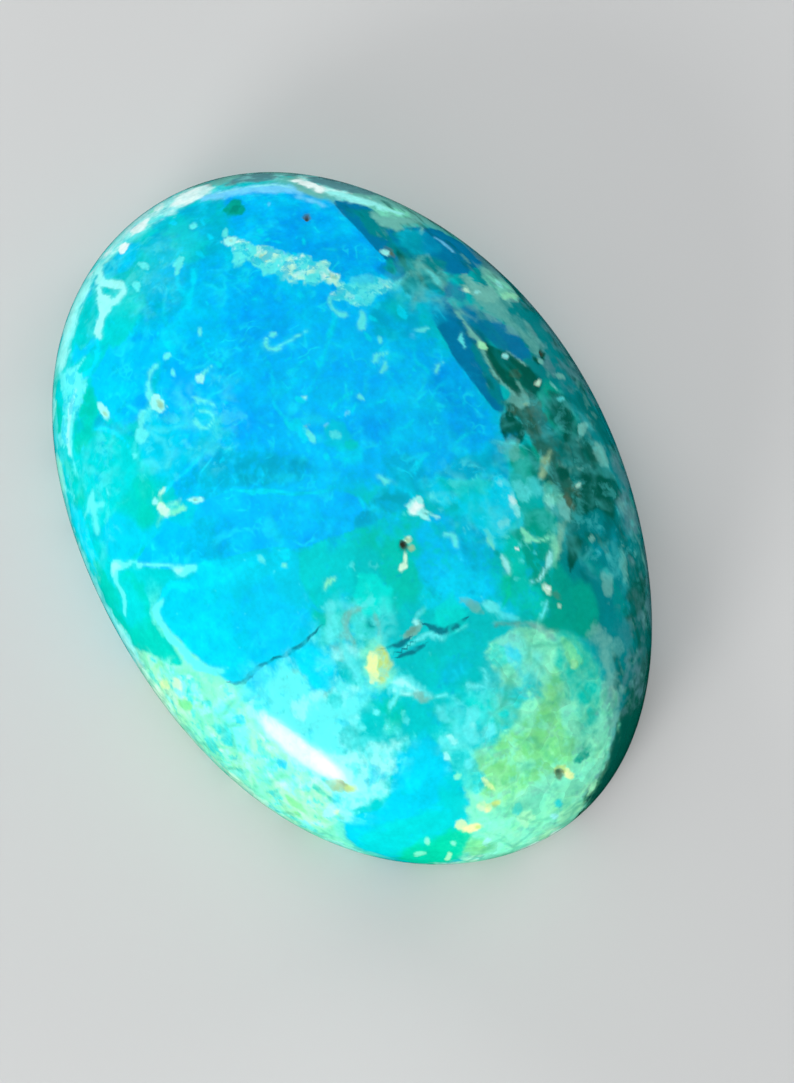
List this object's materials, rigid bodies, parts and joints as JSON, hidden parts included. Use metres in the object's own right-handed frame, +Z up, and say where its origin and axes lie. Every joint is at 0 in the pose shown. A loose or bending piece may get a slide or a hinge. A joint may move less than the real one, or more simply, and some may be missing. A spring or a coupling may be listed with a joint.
{
  "type": "andean opal cabochon",
  "caption": "Oval cabochon of blue and green Andean opal with a polished domed top, rounded girdle, narrow bevel and flat back, for setting in jewellery or display.",
  "frame": {"origin": "middle of the flat back, centred under the stone's bounding box", "axes": "+X along the stone's length, +Y across its width, +Z up through the top of the dome"},
  "size_m": [0.03, 0.021, 0.0078],
  "materials": {
    "opal": "polished"
  },
  "bodies": {
    "root": {"cabochon": "opal"}
  },
  "joints": []
}
